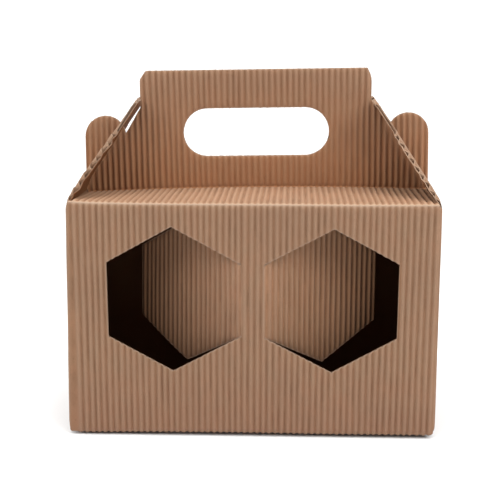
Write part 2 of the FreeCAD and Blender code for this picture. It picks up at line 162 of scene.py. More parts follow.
# ---------------------------------------------------------------- cutting a sheet into columns
def slice_sheet(cols, rows, loops, still=(), fray=0.07):
    """Flat mesh of the region inside the loops, in vertical strips between the columns.

    Returns the (s, v) points, the faces and the directed edges that run round the outside.
    """
    rows = np.array(sorted(set(round(float(r), 4) for r in rows)))
    knots = sorted(round(float(s), 4) for loop in loops for s, _ in loop)
    base = []
    for s in sorted(round(float(s), 4) for s in cols):
        if not base or s - base[-1] > 0.05:
            base.append(s)
    merged = list(base)
    for k in knots:
        near = min(merged, key=lambda q: abs(q - k))
        if abs(near - k) < 0.09:
            if near in base and abs(near - k) > 0:
                merged[merged.index(near)] = k
                base[base.index(near)] = k
        else:
            merged.append(k)
    cols = sorted(set(merged))
    # a knot that was moved onto a neighbouring column follows it
    snap = {}
    for k in knots:
        snap[k] = min(cols, key=lambda q: abs(q - k))
    edges = []
    for loop in loops:
        pts = [(snap[round(float(s), 4)], float(v)) for s, v in loop]
        for a, b in zip(pts, pts[1:] + pts[:1]):
            if abs(a[0] - b[0]) > 1e-9:
                edges.append((a, b) if a[0] < b[0] else (b, a))
    lo_s = np.array([e[0][0] for e in edges])
    hi_s = np.array([e[1][0] for e in edges])

    def v_at(e, s):
        (s0, v0), (s1, v1) = e
        v = v0 + (v1 - v0) * (s - s0) / (s1 - s0)
        if not any(abs(v - q) < 0.02 for q in still):
            v += fray * float(tatter(s, v))
        return round(v, 4)

    strips, marks = [], [set() for _ in cols]
    for i in range(len(cols) - 1):
        a, b = cols[i], cols[i + 1]
        live = np.nonzero((lo_s <= a + 1e-6) & (hi_s >= b - 1e-6))[0]
        pairs = sorted(((v_at(edges[j], a), v_at(edges[j], b)) for j in live),
                       key=lambda q: q[0] + q[1])
        for n in range(0, len(pairs) - 1, 2):
            low, top = pairs[n], pairs[n + 1]
            strips.append((i, low, top))
            marks[i].update((low[0], top[0]))
            marks[i + 1].update((low[1], top[1]))
            for n_, k_ in ((i, 0), (i + 1, 1)):
                if top[k_] - low[k_] > 3 * RIM:
                    marks[n_].update((round(low[k_] + RIM, 4), round(top[k_] - RIM, 4)))

    index, points, faces = {}, [], []

    def vert(i, v):
        key = (i, v)
        if key not in index:
            index[key] = len(points)
            points.append((cols[i], v))
        return index[key]

    def chain(i, lo, hi):
        inner = sorted(m for m in marks[i] if lo < m < hi)
        stops = [lo] + inner + ([hi] if hi > lo else [])
        out = [lo]
        for a, b in zip(stops, stops[1:]):
            sel = rows[(rows > a + 0.14) & (rows < b - 0.14)]
            out.extend(float(q) for q in sel)
            out.append(b)
        return [(vert(i, q), q) for q in out]

    for (i, low, top) in strips:
        L = chain(i, low[0], top[0])
        R = chain(i + 1, low[1], top[1])
        a = b = 0
        while a < len(L) - 1 or b < len(R) - 1:
            if a < len(L) - 1 and b < len(R) - 1 and abs(L[a + 1][1] - R[b + 1][1]) < 1e-5:
                faces.append((L[a][0], R[b][0], R[b + 1][0], L[a + 1][0]))
                a += 1
                b += 1
            elif b == len(R) - 1 or (a < len(L) - 1 and L[a + 1][1] < R[b + 1][1]):
                faces.append((L[a][0], R[b][0], L[a + 1][0]))
                a += 1
            else:
                faces.append((L[a][0], R[b][0], R[b + 1][0]))
                b += 1
    seen = {}
    for f in faces:
        for a, b in zip(f, f[1:] + f[:1]):
            seen[(a, b)] = seen.get((a, b), 0) + 1
    rim = [e for e in seen if (e[1], e[0]) not in seen]
    return np.array(points), faces, rim


# ---------------------------------------------------------------- the fold line of a panel
class Fold:
    """A run of straights and bends in the plane across the creases, measured by v."""

    def __init__(self, u, z, head):
        self.parts = []
        self.u, self.z, self.h, self.v = u, z, math.radians(head), 0.0

    def line(self, length):
        self.parts.append((self.v, self.u, self.z, self.h, 0.0))
        self.u += length * math.cos(self.h)
        self.z += length * math.sin(self.h)
        self.v += length
        return self

    def bend(self, radius, turn):
        """Turn by so many degrees, to the left if positive."""
        turn = math.radians(turn)
        side = 1 if turn > 0 else -1
        self.parts.append((self.v, self.u, self.z, self.h, side / radius))
        cu = self.u - side * radius * math.sin(self.h)
        cz = self.z + side * radius * math.cos(self.h)
        self.h += turn
        self.u = cu + side * radius * math.sin(self.h)
        self.z = cz - side * radius * math.cos(self.h)
        self.v += abs(turn) * radius
        return self

    def shift(self, dv):
        self.parts = [(v + dv, u, z, h, k) for v, u, z, h, k in self.parts]
        self.v += dv
        return self

    def at(self, v):
        v = np.asarray(v, float)
        u, z, h = np.zeros_like(v), np.zeros_like(v), np.zeros_like(v)
        starts = [p[0] for p in self.parts]
        which = np.clip(np.searchsorted(starts, v, side="right") - 1, 0, len(starts) - 1)
        for i, (v0, u0, z0, h0, k) in enumerate(self.parts):
            m = which == i
            d = v[m] - v0
            if k == 0:
                u[m], z[m], h[m] = u0 + d * math.cos(h0), z0 + d * math.sin(h0), h0
            else:
                hh = h0 + k * d
                u[m] = u0 + (np.sin(hh) - math.sin(h0)) / k
                z[m] = z0 - (np.cos(hh) - math.cos(h0)) / k
                h[m] = hh
        return u, z, h


def ease(x):
    x = np.clip(x, 0, 1)
    return x * x * (3 - 2 * x)


def belly(x, y, z):
    """The floor of the tube sags a little between the walls, which hang just clear."""
    inner = np.clip(1.8 * (1 - (x / 96.5) ** 2), 0, 1) * np.clip(3.0 * (1 - (y / 51.3) ** 2), 0, 1)
    brim = np.interp(x, (-99, -80, -62, -44, -10, 40, 79, 99), (1.60, 1.32, 1.04, 0.88, 0.70, 0.98, 0.92, 1.00))
    return brim * ease((22.0 - z) / 20.0) + (2.04 - brim) * ease((5.0 - z) / 2.2) * inner


FOLD_UP = ((-99, -92, -82, -62, -43, 10, 62, 86, 99), (2.15, 1.68, 1.38, 1.02, 0.86, 0.72, 0.52, 0.70, 0.80))


def shoulder(x, y, z):
    """The long top folds stand a little above the flat height, most of all at the left corner."""
    return np.interp(x, *FOLD_UP) * ease((z - 117) / 9.5) * np.clip((np.abs(y) - 6) / 46, 0, 1) ** 1.3


def rise(x, y, z):
    """How far the top panel and the handle stand above the flat fold, as the real one does."""
    tilt = 0.0125 * x
    hump = 1.9 * (1 - 0.85 * np.clip(x / 88, -1.15, 1.15) ** 2)
    lower = 0.95 * ease((z - 131) / 30)
    near = np.clip(1 - np.abs(y) / 52.5, 0, 1)
    flat = np.clip((z - 124) / 3, 0, 1)
    up = np.clip((z - HIGH - 1.5) / 14, 0, 1)
    up = 1 - up * up * (3 - 2 * up)
    return flat * near ** 0.9 * (tilt + hump * up - lower)


def swing(turn, piece_frame, pts):
    """Local wall frame (s along the wall, u inwards, z up) to the part's frame."""
    s, u, z = pts
    if piece_frame == 0:
        return np.stack([s, u, z], 1)
    if piece_frame == 1:
        return np.stack([-u, s, z], 1)
    if piece_frame == 2:
        return np.stack([-s, -u, z], 1)
    return np.stack([u, -s, z], 1)


def spread(x, z):
    """The tube stands a little wider at the bottom of its left side."""
    return -SPREAD * ease((-x - 96.3) / 1.9) * np.clip(1 - z / 126.0, 0, 1)


SPREAD = 3.0


def panel_place(side, fold, half_flat, wall_low, wall_high, warp=None, thick=None):
    """Maps (s, v, t) of one wall with its flaps into the part's frame."""
    half_out = HALF_D if side in (0, 2) else HALF_W

    def place(s, v, t):
        u, z, h = fold.at(v)
        nu, nz = -np.sin(h), np.cos(h)
        off = t - MID
        if thick is not None:
            off = MID - (MID - off) * thick(s, v)
        x = s.copy()
        uu = u + nu * off
        zz = z + nz * off
        over = (np.abs(s) > half_flat) & (v > wall_low) & (v < wall_high)
        if over.any():
            ang = (np.abs(s[over]) - half_flat) / CORNER
            sg = np.sign(s[over])
            rad = -(half_out - CORNER) - uu[over]
            x[over] = sg * (half_flat + rad * np.sin(ang))
            uu[over] = -(half_out - CORNER) - rad * np.cos(ang)
        if warp is not None:
            x, uu, zz = warp(x, uu, zz, s, v)
        p = swing(0, side, (x, uu, zz))
        p[:, 0] += spread(p[:, 0], p[:, 2])
        up = shoulder(p[:, 0], p[:, 1], p[:, 2])
        if side in (0, 2):
            p[:, 2] += rise(p[:, 0], p[:, 1], p[:, 2]) + up
        else:
            p[:, 2] += up * over * np.clip((np.abs(s) - half_flat) / (SEAM_D - half_flat), 0, 1)
        p[:, 2] -= belly(p[:, 0], p[:, 1], p[:, 2])
        return p

    return place


# ---------------------------------------------------------------- a sheet becomes a piece
def near_cut(s, v, lines):
    """How far each point is from the nearest of some cut lines."""
    best = np.full(len(s), 9.0)
    for line in lines:
        for (x0, y0), (x1, y1) in zip(line, line[1:]):
            dx, dy = x1 - x0, y1 - y0
            t = np.clip(((s - x0) * dx + (v - y0) * dy) / (dx * dx + dy * dy + 1e-12), 0, 1)
            best = np.minimum(best, np.hypot(s - x0 - t * dx, v - y0 - t * dy))
    return best


MATS = {}


def build(name, cols, rows, loops, place, around=0.0, creases=(), still=(), fray=0.07,
          flip=1.0, liner_step=4, pale_from=1e9, outer="flutes", roof_from=1e9,
          heavy_from=1e9, crushed=(), cut="cut"):
    """Fluted paper on its liner, both closed solids, as one mesh."""
    all_co, all_faces, all_mat, tone, rub_and_highlight, uv = [], [], [], [], [], []
    base = 0

    def add(points2, faces, rim, lower, upper, mats):
        nonlocal base
        n = len(points2)
        all_co.append(upper[0])
        all_co.append(lower[0])
        tone.append(upper[1])
        tone.append(lower[1])
        rubbed_and_highlighted = wear_and_highlight(points2[:, 1], creases)
        edge_of = np.array(sorted({q for e in rim for q in e}))
        free = edge_of[[all(abs(points2[q, 1] - w) > 0.02 for w in still) for q in edge_of]]
        rubbed_and_highlighted[free] = np.maximum(rubbed_and_highlighted[free], EDGE_RUB)
        rub_and_highlight.append(rubbed_and_highlighted)
        rub_and_highlight.append(rubbed_and_highlighted)
        uvp = np.stack([points2[:, 0] * flip + around, points2[:, 1]], 1) / 100.0
        uv.append(uvp)
        uv.append(uvp)
        for f in faces:
            all_faces.append(tuple(base + q for q in f))
            all_mat.append(4 if points2[f[0], 1] > roof_from else mats[0])
        for f in faces:
            all_faces.append(tuple(base + n + q for q in reversed(f)))
            if mats[1] == 1:
                all_mat.append(3 if points2[f[0], 1] > pale_from else 1)
            else:
                all_mat.append(4 if points2[f[0], 1] > roof_from else 0)
        for a, b in rim:
            all_faces.append((base + n + a, base + n + b, base + b, base + a))
            all_mat.append(mats[2])
        base += 2 * n

    # fluted paper
    p2, faces, rim = slice_sheet(cols, rows, loops, still, fray)
    s, v = p2[:, 0], p2[:, 1]
    p = s * flip + around
    h, crest = flute(p, v, creases)
    dp = 0.04
    slope = (flute(p + dp, v, creases)[0] - flute(p - dp, v, creases)[0]) / (2 * dp) * flip
    if crushed:
        # the knife flattens the flutes along the cut
        flat = 1 - 0.55 * np.exp(-(near_cut(s, v, crushed) / 0.9) ** 2)
        h = LINER + LOW + (h - LINER - LOW) * flat
        slope = slope * flat
    th = np.arctan(slope)
    up = place(s, v, h)
    paper = PAPER * (1 + (0.45 + 0.30 * np.sin(v * 1.9 + p * 0.7) * np.sin(v * 0.83 + 1.3)) * ease((v - heavy_from) / 5))
    lo = place(s + paper * np.sin(th), v, h - paper * np.cos(th))
    # the fluted paper's underside gets a fixed crest of 0.25: painted shade inside the flute tunnels
    add(p2, faces, rim, (lo, crest * 0 + 0.25), (up, crest), (0, 0, 2))
    # liner, with fewer columns
    p2, faces, rim = slice_sheet(list(cols)[::liner_step] + [cols[-1]], rows, loops, still, fray)
    s, v = p2[:, 0], p2[:, 1]
    ones = np.ones(len(s))
    up = place(s, v, ones * LINER)
    lo = place(s, v, ones * 0.0)
    # the liner's top gets a crest of 0, the full valley tone: painted shade inside the flute tunnels
    add(p2, faces, rim, (lo, ones * 0.5), (up, ones * 0.0), (0, 1, 2))

    co = np.concatenate(all_co) * MM
    me = bpy.data.meshes.new(name)
    me.from_pydata(co.tolist(), [], all_faces)
    me.update()
    tone_a = me.attributes.new("crest", "FLOAT", "POINT")
    tone_a.data.foreach_set("value", np.concatenate(tone).astype(np.float32))
    rub_highlight_a = me.attributes.new("rubbed_and_highlighted", "FLOAT", "POINT")
    rub_highlight_a.data.foreach_set("value", np.concatenate(rub_and_highlight).astype(np.float32))
    uvs = np.concatenate(uv)
    layer = me.uv_layers.new(name="sheet")
    loop_v = np.zeros(len(me.loops), dtype=np.int32)
    me.loops.foreach_get("vertex_index", loop_v)
    layer.data.foreach_set("uv", uvs[loop_v].astype(np.float32).ravel())
    for m in (outer, "liner", cut, "under", "roof"):
        me.materials.append(MATS[m])
    me.polygons.foreach_set("material_index", np.array(all_mat, dtype=np.int32))
    smooth = np.array([m != 2 for m in all_mat], dtype=bool)
    me.polygons.foreach_set("use_smooth", smooth)
    me.set_sharp_from_angle(angle=math.radians(52))
    me.update()
    ob = bpy.data.objects.new(name, me)
    bpy.context.scene.collection.objects.link(ob)
    return ob


# ---------------------------------------------------------------- materials
def ramp_mix(nt, a, b, fac, x, y, blend="MIX"):
    n = nt.nodes.new("ShaderNodeMix")
    n.data_type = "RGBA"
    n.blend_type = blend
    n.location = (x, y)
    if isinstance(fac, (int, float)):
        n.inputs[0].default_value = fac
    else:
        nt.links.new(fac, n.inputs[0])
    for sock, val in ((6, a), (7, b)):
        if isinstance(val, tuple):
            n.inputs[sock].default_value = (*val, 1)
        else:
            nt.links.new(val, n.inputs[sock])
    return n.outputs[2]


def map_range(nt, src, a, b, c, d, x, y):
    n = nt.nodes.new("ShaderNodeMapRange")
    n.location = (x, y)
    nt.links.new(src, n.inputs[0])
    for i, val in enumerate((a, b, c, d)):
        n.inputs[i + 1].default_value = val
    return n.outputs[0]


def noise(nt, vec, scale, detail, rough, x, y, dist=0.0):
    n = nt.nodes.new("ShaderNodeTexNoise")
    n.location = (x, y)
    nt.links.new(vec, n.inputs["Vector"])
    n.inputs["Scale"].default_value = scale
    n.inputs["Detail"].default_value = detail
    n.inputs["Roughness"].default_value = rough
    n.inputs["Distortion"].default_value = dist
    return n.outputs[0]


def mapping(nt, vec, scale, x, y, loc=(0, 0, 0), rot=(0, 0, 0)):
    n = nt.nodes.new("ShaderNodeMapping")
    n.location = (x, y)
    nt.links.new(vec, n.inputs["Vector"])
    n.inputs["Scale"].default_value = scale
    n.inputs["Location"].default_value = loc
    n.inputs["Rotation"].default_value = rot
    return n.outputs[0]


def kraft(name, light, dark, rough, bump, fleck, use_crest=True, valley=0.8, stretch=9.0,
          streak_deep=(0.70, 0.63, 0.56), gloss=0.14, nap=0.03, grade=None, height=None):
    """Unbleached paper: fibres along the sheet, soft mottling, dark and pale flecks, painted shade in the flute valleys
    and a paler rub that is partly a painted highlight.
    """
    m = bpy.data.materials.new(name)
    m.use_nodes = True
    nt = m.node_tree
    nt.nodes.clear()
    if use_crest:
        light, dark = (tuple(c * k for c, k in zip(tone, (1.0, 1.035, 1.055))) for tone in (light, dark))
    out = nt.nodes.new("ShaderNodeOutputMaterial")
    out.location = (900, 0)
    sh = nt.nodes.new("ShaderNodeBsdfPrincipled")
    sh.location = (600, 0)
    nt.links.new(sh.outputs[0], out.inputs[0])
    uv = nt.nodes.new("ShaderNodeUVMap")
    uv.uv_map = "sheet"
    uv.location = (-1500, 0)
    v = uv.outputs[0]
    # one unit of the map is 100 mm
    along = mapping(nt, v, (stretch, 1.0, 1.0), -1250, 200)
    fibre = noise(nt, along, 60.0, 6.0, 0.65, -1000, 250, 0.4)
    mott = noise(nt, mapping(nt, v, (1.6, 1.0, 1.0), -1250, -50), 9.0, 4.0, 0.6, -1000, -20, 0.3)
    cloud = noise(nt, mapping(nt, v, (1.0, 1.0, 1.0), -1250, -300, loc=(3.1, 1.7, 0)), 2.2, 3.0, 0.5, -1000, -260)
    speck = noise(nt, mapping(nt, v, (1.0, 0.45, 1.0), -1250, -550, loc=(7.7, 2.3, 0), rot=(0, 0, 0.5)),
                  210.0, 2.0, 0.5, -1000, -520)
    grain = noise(nt, v, 420.0, 3.0, 0.6, -1000, -780)
    col = ramp_mix(nt, dark, light, map_range(nt, fibre, 0.30, 0.70, 0.18, 0.92, -800, 250), -560, 250)
    warm = tuple(c * k for c, k in zip(light, (1.03, 0.93, 0.86)))
    pale = tuple(c * k for c, k in zip(light, (0.97, 1.02, 0.99)))
    tint = ramp_mix(nt, warm, pale, map_range(nt, mott, 0.32, 0.68, 0.0, 1.0, -800, 0), -560, 0)
    col = ramp_mix(nt, col, tint, 0.42, -380, 150)
    col = ramp_mix(nt, col, tuple(c * 0.80 for c in light), map_range(nt, cloud, 0.45, 0.75, 0.0, 0.5, -800, -250), -200, 120)
    col = ramp_mix(nt, col, tuple(c * 0.42 for c in dark), map_range(nt, speck, 0.66, 0.76, 0.0, fleck, -800, -520), -20, 60)
    col = ramp_mix(nt, col, tuple(min(1.0, c * 1.45) for c in light), map_range(nt, speck, 0.33, 0.26, 0.0, fleck * 0.8, -800, -700), 140, 20)
    if grade:
        # the tone changes slowly along the sheet
        axis, lo, hi, tint_lo, tint_hi, deep_lo, deep_hi = grade
        split = nt.nodes.new("ShaderNodeSeparateXYZ")
        split.location = (-1250, 1200)
        nt.links.new(v, split.inputs[0])
        away = nt.nodes.new("ShaderNodeMath")
        away.operation = "ABSOLUTE"
        away.location = (-1050, 1200)
        nt.links.new(split.outputs[axis], away.inputs[0])
        fac = map_range(nt, away.outputs[0], lo, hi, 0.0, 1.0, -800, 1200)
        col = ramp_mix(nt, col, ramp_mix(nt, tint_lo, tint_hi, fac, -420, 1200), 1.0, 230, 60, "MULTIPLY")
    if height:
        # and from its lower to its upper edge, which paints shade and light
        lo, hi, tint_lo, tint_hi = height
        rise_of = nt.nodes.new("ShaderNodeSeparateXYZ")
        rise_of.location = (-1250, 1650)
        nt.links.new(v, rise_of.inputs[0])
        far_up = map_range(nt, rise_of.outputs[1], lo, hi, 0.0, 1.0, -800, 1650)
        col = ramp_mix(nt, col, ramp_mix(nt, tint_lo, tint_hi, far_up, -420, 1650), 1.0, 270, 60, "MULTIPLY")
    # painted shade: the colour darkens into the flute valleys by the crest attribute, in streaks
    if use_crest:
        at = nt.nodes.new("ShaderNodeAttribute")
        at.attribute_name = "crest"
        at.location = (-1000, 520)
        streak = noise(nt, mapping(nt, v, (30.0, 5.5, 1.0), -1250, 760, loc=(0.4, 5.1, 0)), 1.0, 3.0, 0.55, -1000, 760)
        deep = ramp_mix(nt, tuple(valley * k for k in (1.0, 0.907, 0.821)),
                        tuple(valley * k * j for k, j in zip(streak_deep, (1.0, 0.95, 0.90))),
                        map_range(nt, streak, 0.42, 0.64, 0.0, 1.0, -800, 760), -420, 600)
        # the painted valley shade deepens or lightens along the sheet
        if grade:
            deep = ramp_mix(nt, deep, ramp_mix(nt, (deep_lo,) * 3, (deep_hi,) * 3, fac, -420, 1400), 1.0,
                            -300, 620, "MULTIPLY")
        shade = ramp_mix(nt, deep, (1.0, 1.0, 1.0),
                         map_range(nt, at.outputs["Fac"], 0.05, 0.72, 0.0, 1.0, -800, 520), -200, 420)
        col = ramp_mix(nt, col, shade, 1.0, 320, 120, "MULTIPLY")
        # paler where rubbed: wear along creases and cut edges, and on the top fold partly a painted highlight
        wear_highlight = nt.nodes.new("ShaderNodeAttribute")
        wear_highlight.attribute_name = "rubbed_and_highlighted"
        wear_highlight.location = (-1000, 1000)
        col = ramp_mix(nt, col, tuple(min(1.0, c * k) for c, k in zip(light, (1.12, 1.30, 1.44))),
                       map_range(nt, wear_highlight.outputs["Fac"], 0.0, 1.0, 0.0, 1.0, -800, 1000), 420, 220)
    nt.links.new(col, sh.inputs["Base Color"])
    nt.links.new(map_range(nt, fibre, 0.25, 0.75, rough + 0.06, rough - 0.08, 60, -260), sh.inputs["Roughness"])
    sh.inputs["Specular IOR Level"].default_value = gloss
    sh.inputs["Sheen Weight"].default_value = nap
    sh.inputs["Sheen Roughness"].default_value = 0.6
    relief = nt.nodes.new("ShaderNodeMix")
    relief.data_type = "FLOAT"
    relief.inputs[0].default_value = 0.4
    relief.location = (60, -460)
    nt.links.new(fibre, relief.inputs[2])
    nt.links.new(grain, relief.inputs[3])
    bp = nt.nodes.new("ShaderNodeBump")
    bp.location = (300, -400)
    bp.inputs["Strength"].default_value = bump
    bp.inputs["Distance"].default_value = 0.00022
    nt.links.new(relief.outputs[0], bp.inputs["Height"])
    nt.links.new(bp.outputs[0], sh.inputs["Normal"])
    return m


MATS["flutes"] = kraft("kraft_flutes", (0.252, 0.148, 0.093), (0.197, 0.110, 0.067), 0.80, 0.55, 0.5,
                       valley=0.93, streak_deep=(0.82, 0.77, 0.72),
                       grade=(1, 0.05, 0.42, (0.985, 0.935, 0.945), (1.0, 1.0, 1.0), 1.0, 1.0))
# painted light: the handle's copy of the flute paper is warmer and redder at its base, a painted reflection of light
# off the top panel, and darker and greyer toward its top edge, painted shade; its flute valleys also darken upward
MATS["handle"] = kraft("kraft_flutes_handle", (0.284, 0.153, 0.088), (0.225, 0.116, 0.065), 0.80, 0.50, 0.5,
                       valley=0.95, streak_deep=(0.87, 0.81, 0.75),
                       grade=(1, 1.82, 2.44, (1.00, 0.885, 0.775), (0.88, 0.92, 0.98), 1.06, 0.92))
MATS["roof"] = kraft("kraft_flutes_top", (0.266, 0.149, 0.087), (0.208, 0.111, 0.063), 0.80, 0.55, 0.5,
                     valley=0.85, streak_deep=(0.79, 0.74, 0.69))
# painted shade: on both window flaps the paper turns redder toward the free end (and darker on the left one), the flute
# valleys deepen there, and the paper is darker near the lower edge and lighter near the upper; this stands in for light
# falling off inside the box
MATS["flap_left"] = kraft("kraft_flutes_flap_left", (0.252, 0.141, 0.087), (0.195, 0.105, 0.062), 0.84, 0.55, 0.5,
                          valley=0.86, streak_deep=(0.78, 0.72, 0.66),
                          grade=(0, 0.12, 0.72, (1.02, 1.05, 1.09), (0.84, 0.75, 0.65), 1.2, 0.54),
                          height=(0.42, 1.10, (0.78, 0.75, 0.71), (1.18, 1.18, 1.17)))
MATS["flap_right"] = kraft("kraft_flutes_flap_right", (0.258, 0.145, 0.088), (0.200, 0.108, 0.063), 0.84, 0.55, 0.5,
                           valley=0.86, streak_deep=(0.78, 0.72, 0.66),
                           grade=(0, 0.12, 0.72, (1.01, 1.03, 1.05), (1.08, 0.97, 0.865), 1.2, 0.50),
                           height=(0.42, 1.10, (0.80, 0.78, 0.75), (1.17, 1.17, 1.18)))
MATS["liner"] = kraft("kraft_liner_inside", (0.195, 0.092, 0.044), (0.155, 0.069, 0.032), 0.84, 0.45, 0.45,
                      use_crest=False)
MATS["under"] = kraft("kraft_liner_flap", (0.198, 0.085, 0.037), (0.152, 0.062, 0.026), 0.90, 0.45, 0.45,
                      use_crest=False, gloss=0.06, nap=0.0)
MATS["cut"] = kraft("kraft_cut_edge", (0.275, 0.180, 0.122), (0.185, 0.112, 0.072), 0.92, 0.8, 0.6,
                    use_crest=False, stretch=1.5)
# painted shade: a darker copy of the cut-edge paper for the shaded left end flap; along it the edge is darker near the
# fold and paler and greyer toward the tip
MATS["cut_left"] = kraft("kraft_cut_edge_left", (0.185, 0.112, 0.072), (0.090, 0.050, 0.031), 0.92, 0.9, 0.9,
                         use_crest=False, stretch=1.5,
                         grade=(1, 1.66, 1.80, (0.86, 0.82, 0.78), (1.18, 1.36, 1.56), 1.0, 1.0))
MATS["cut_right"] = kraft("kraft_cut_edge_right", (0.280, 0.184, 0.126), (0.150, 0.088, 0.056), 0.92, 0.9, 0.9,
                          use_crest=False, stretch=1.5)


# ---------------------------------------------------------------- shared rows and columns
def steps(lo, hi, gap):
    n = max(1, int(round((hi - lo) / gap)))
    return [lo + (hi - lo) * i / n for i in range(n + 1)]


def about(at, *dist):
    return [at] + [at + d for d in dist] + [at - d for d in dist]


NEAR = (0.26, 0.52, 0.785, 1.15, 1.6, 2.2, 3.0, 4.2)


def columns(lo, hi, around=0.0, per=8, flip=1.0):
    """Columns at fixed places on each flute, so that neighbours share them."""
    fine = PITCH / per
    ends = sorted((lo * flip + around, hi * flip + around))
    k0 = math.ceil((ends[0] - VALLEY) / fine + 1e-6)
    k1 = math.floor((ends[1] - VALLEY) / fine - 1e-6)
    ps = [VALLEY + k * fine for k in range(k0, k1 + 1)]
    ss = sorted((q - around) * flip for q in ps)
    return [lo] + [q for q in ss if lo + 0.08 < q < hi - 0.08] + [hi]


def arc_pts(cx, cy, r, a0, a1, n):
    return [(cx + r * math.cos(math.radians(a0 + (a1 - a0) * i / n)),
             cy + r * math.sin(math.radians(a0 + (a1 - a0) * i / n))) for i in range(n + 1)]


# ---------------------------------------------------------------- long sides: front (0) and rear (2)
def long_fold(ramp):
    f = Fold(20.0, 2.8 if ramp else 0.8, 180)
    if ramp:
        f.line(17.4)
        lean = math.radians(24)
        f.bend(3.0, 24).line((2.0 - 6.0 * (1 - math.cos(lean))) / math.sin(lean)).bend(3.0, -24)
        f.line(f.u + HALF_D - 1.0)
    else:
        f.line(20.0 + HALF_D - 1.0)
    f.bend(1.0, -90)
    v0 = f.v
    f.line(HIGH - MID - 1.0 - 1.8)
    f.bend(1.0, -90)
    f.line(HALF_D - 1.0 - 2.0)
    f.bend(1.0, 90)
    f.line(80)
    return f.shift(1.8 - v0)


V_BOTTOM = 1.8 - math.pi / 4           # middle of the bottom crease
V_TOP = HIGH - MID - 1.0 + math.pi / 4  # middle of the top crease
V_PANEL = HIGH - MID - 1.0 + math.pi / 2  # where the top panel is flat, 1.0 mm inside the fold
V_ROOT = V_PANEL + HALF_D - 3.0          # where it turns up into the handle
V_UP = V_ROOT + math.pi / 2              # handle starts, at z = 128.2
V_SPLIT = V_ROOT + math.pi / 4


def v_handle(zz):
    """v of a height above the top fold, on the handle."""
    return V_UP + zz - 0.2


def handle_side(grip, ear, ear_mid, ear_rad, corner, notch, notch_top):
    """One side of a handle panel from the crease up, as distances from the middle."""
    up = v_handle
    side = [(97.3, V_SPLIT), (ear, up(2.0))]
    side += [(x, up(z)) for x, z in arc_pts(ear_mid, 32.3, ear_rad, 0, notch[2], 15)]
    side += [(notch[0], up(notch[1])), (grip, up(notch_top))]
    return side + [(grip - dx, up(z)) for dx, z in corner]


def handle_loops(flip=1.0):
    """Outline of one handle panel from the crease up, and its hand hole."""
    up = v_handle
    right = handle_side(65.0, 98.1, 86.0, 11.5, [(0.0, 61.0), (0.15, 63.4), (0.9, 66.0), (2.5, 69.0)],
                        (75.7, 37.0, 156), 51.2)
    left = handle_side(65.9, 98.3, 86.3, 11.7, [(0.0, 63.4), (0.3, 64.5), (3.0, 68.5), (3.9, 69.0)],
                       (74.65, 33.8, 173), 48.3)
    hole = [(x + 0.2 if x > 0 else x, up(z)) for x, z in
            arc_pts(27.5, 33.7, 13.75, -90, 90, 16) + arc_pts(-27.7, 33.7, 13.75, 90, 270, 16)]
    if flip > 0:
        # a nick at the end of the cut
        k = min(range(len(hole)), key=lambda i: abs(hole[i][0] - 40.6) + abs(hole[i][1] - up(30.6)))
        hole.insert(k, (41.8, up(30.2)))
    outline = right + [(-x, v) for x, v in left[::-1]]
    if flip < 0:
        outline = [(-x, v) for x, v in outline[::-1]]
    return [outline, hole]


front_fold = long_fold(True)
rear_fold = long_fold(False)
# each crease: where, how wide, how much of the flutes stays, how much paler; the top crease's full rub is partly wear
# and partly a painted highlight along the ridge
LONG_CREASES = [(V_BOTTOM, 1.4, 0.50, 0.2), (V_TOP, 1.25, 0.30, 1.0), (V_SPLIT, 1.4, 0.40, 0.0)]

wall_rows = steps(6, 122, 9.6)
top_rows = steps(V_PANEL + 4.0, V_ROOT - 4.0, 8.5)


def long_outline():
    hi = HIGH - 2.0
    right = [(97.9, V_BOTTOM - 0.6), (98.2, V_BOTTOM + 0.1), (SEAM_W, V_BOTTOM + 1.0), (SEAM_W, hi),
             (97.4, V_TOP + 0.9), (97.0, V_TOP + 3.0), (97.3, V_SPLIT)]
    left = [(-x, v) for x, v in right]
    return right + left[::-1]


def windows():
    return [[(sg * x, z) for x, z in WINDOW[sg]] for sg in (-1, 1)]


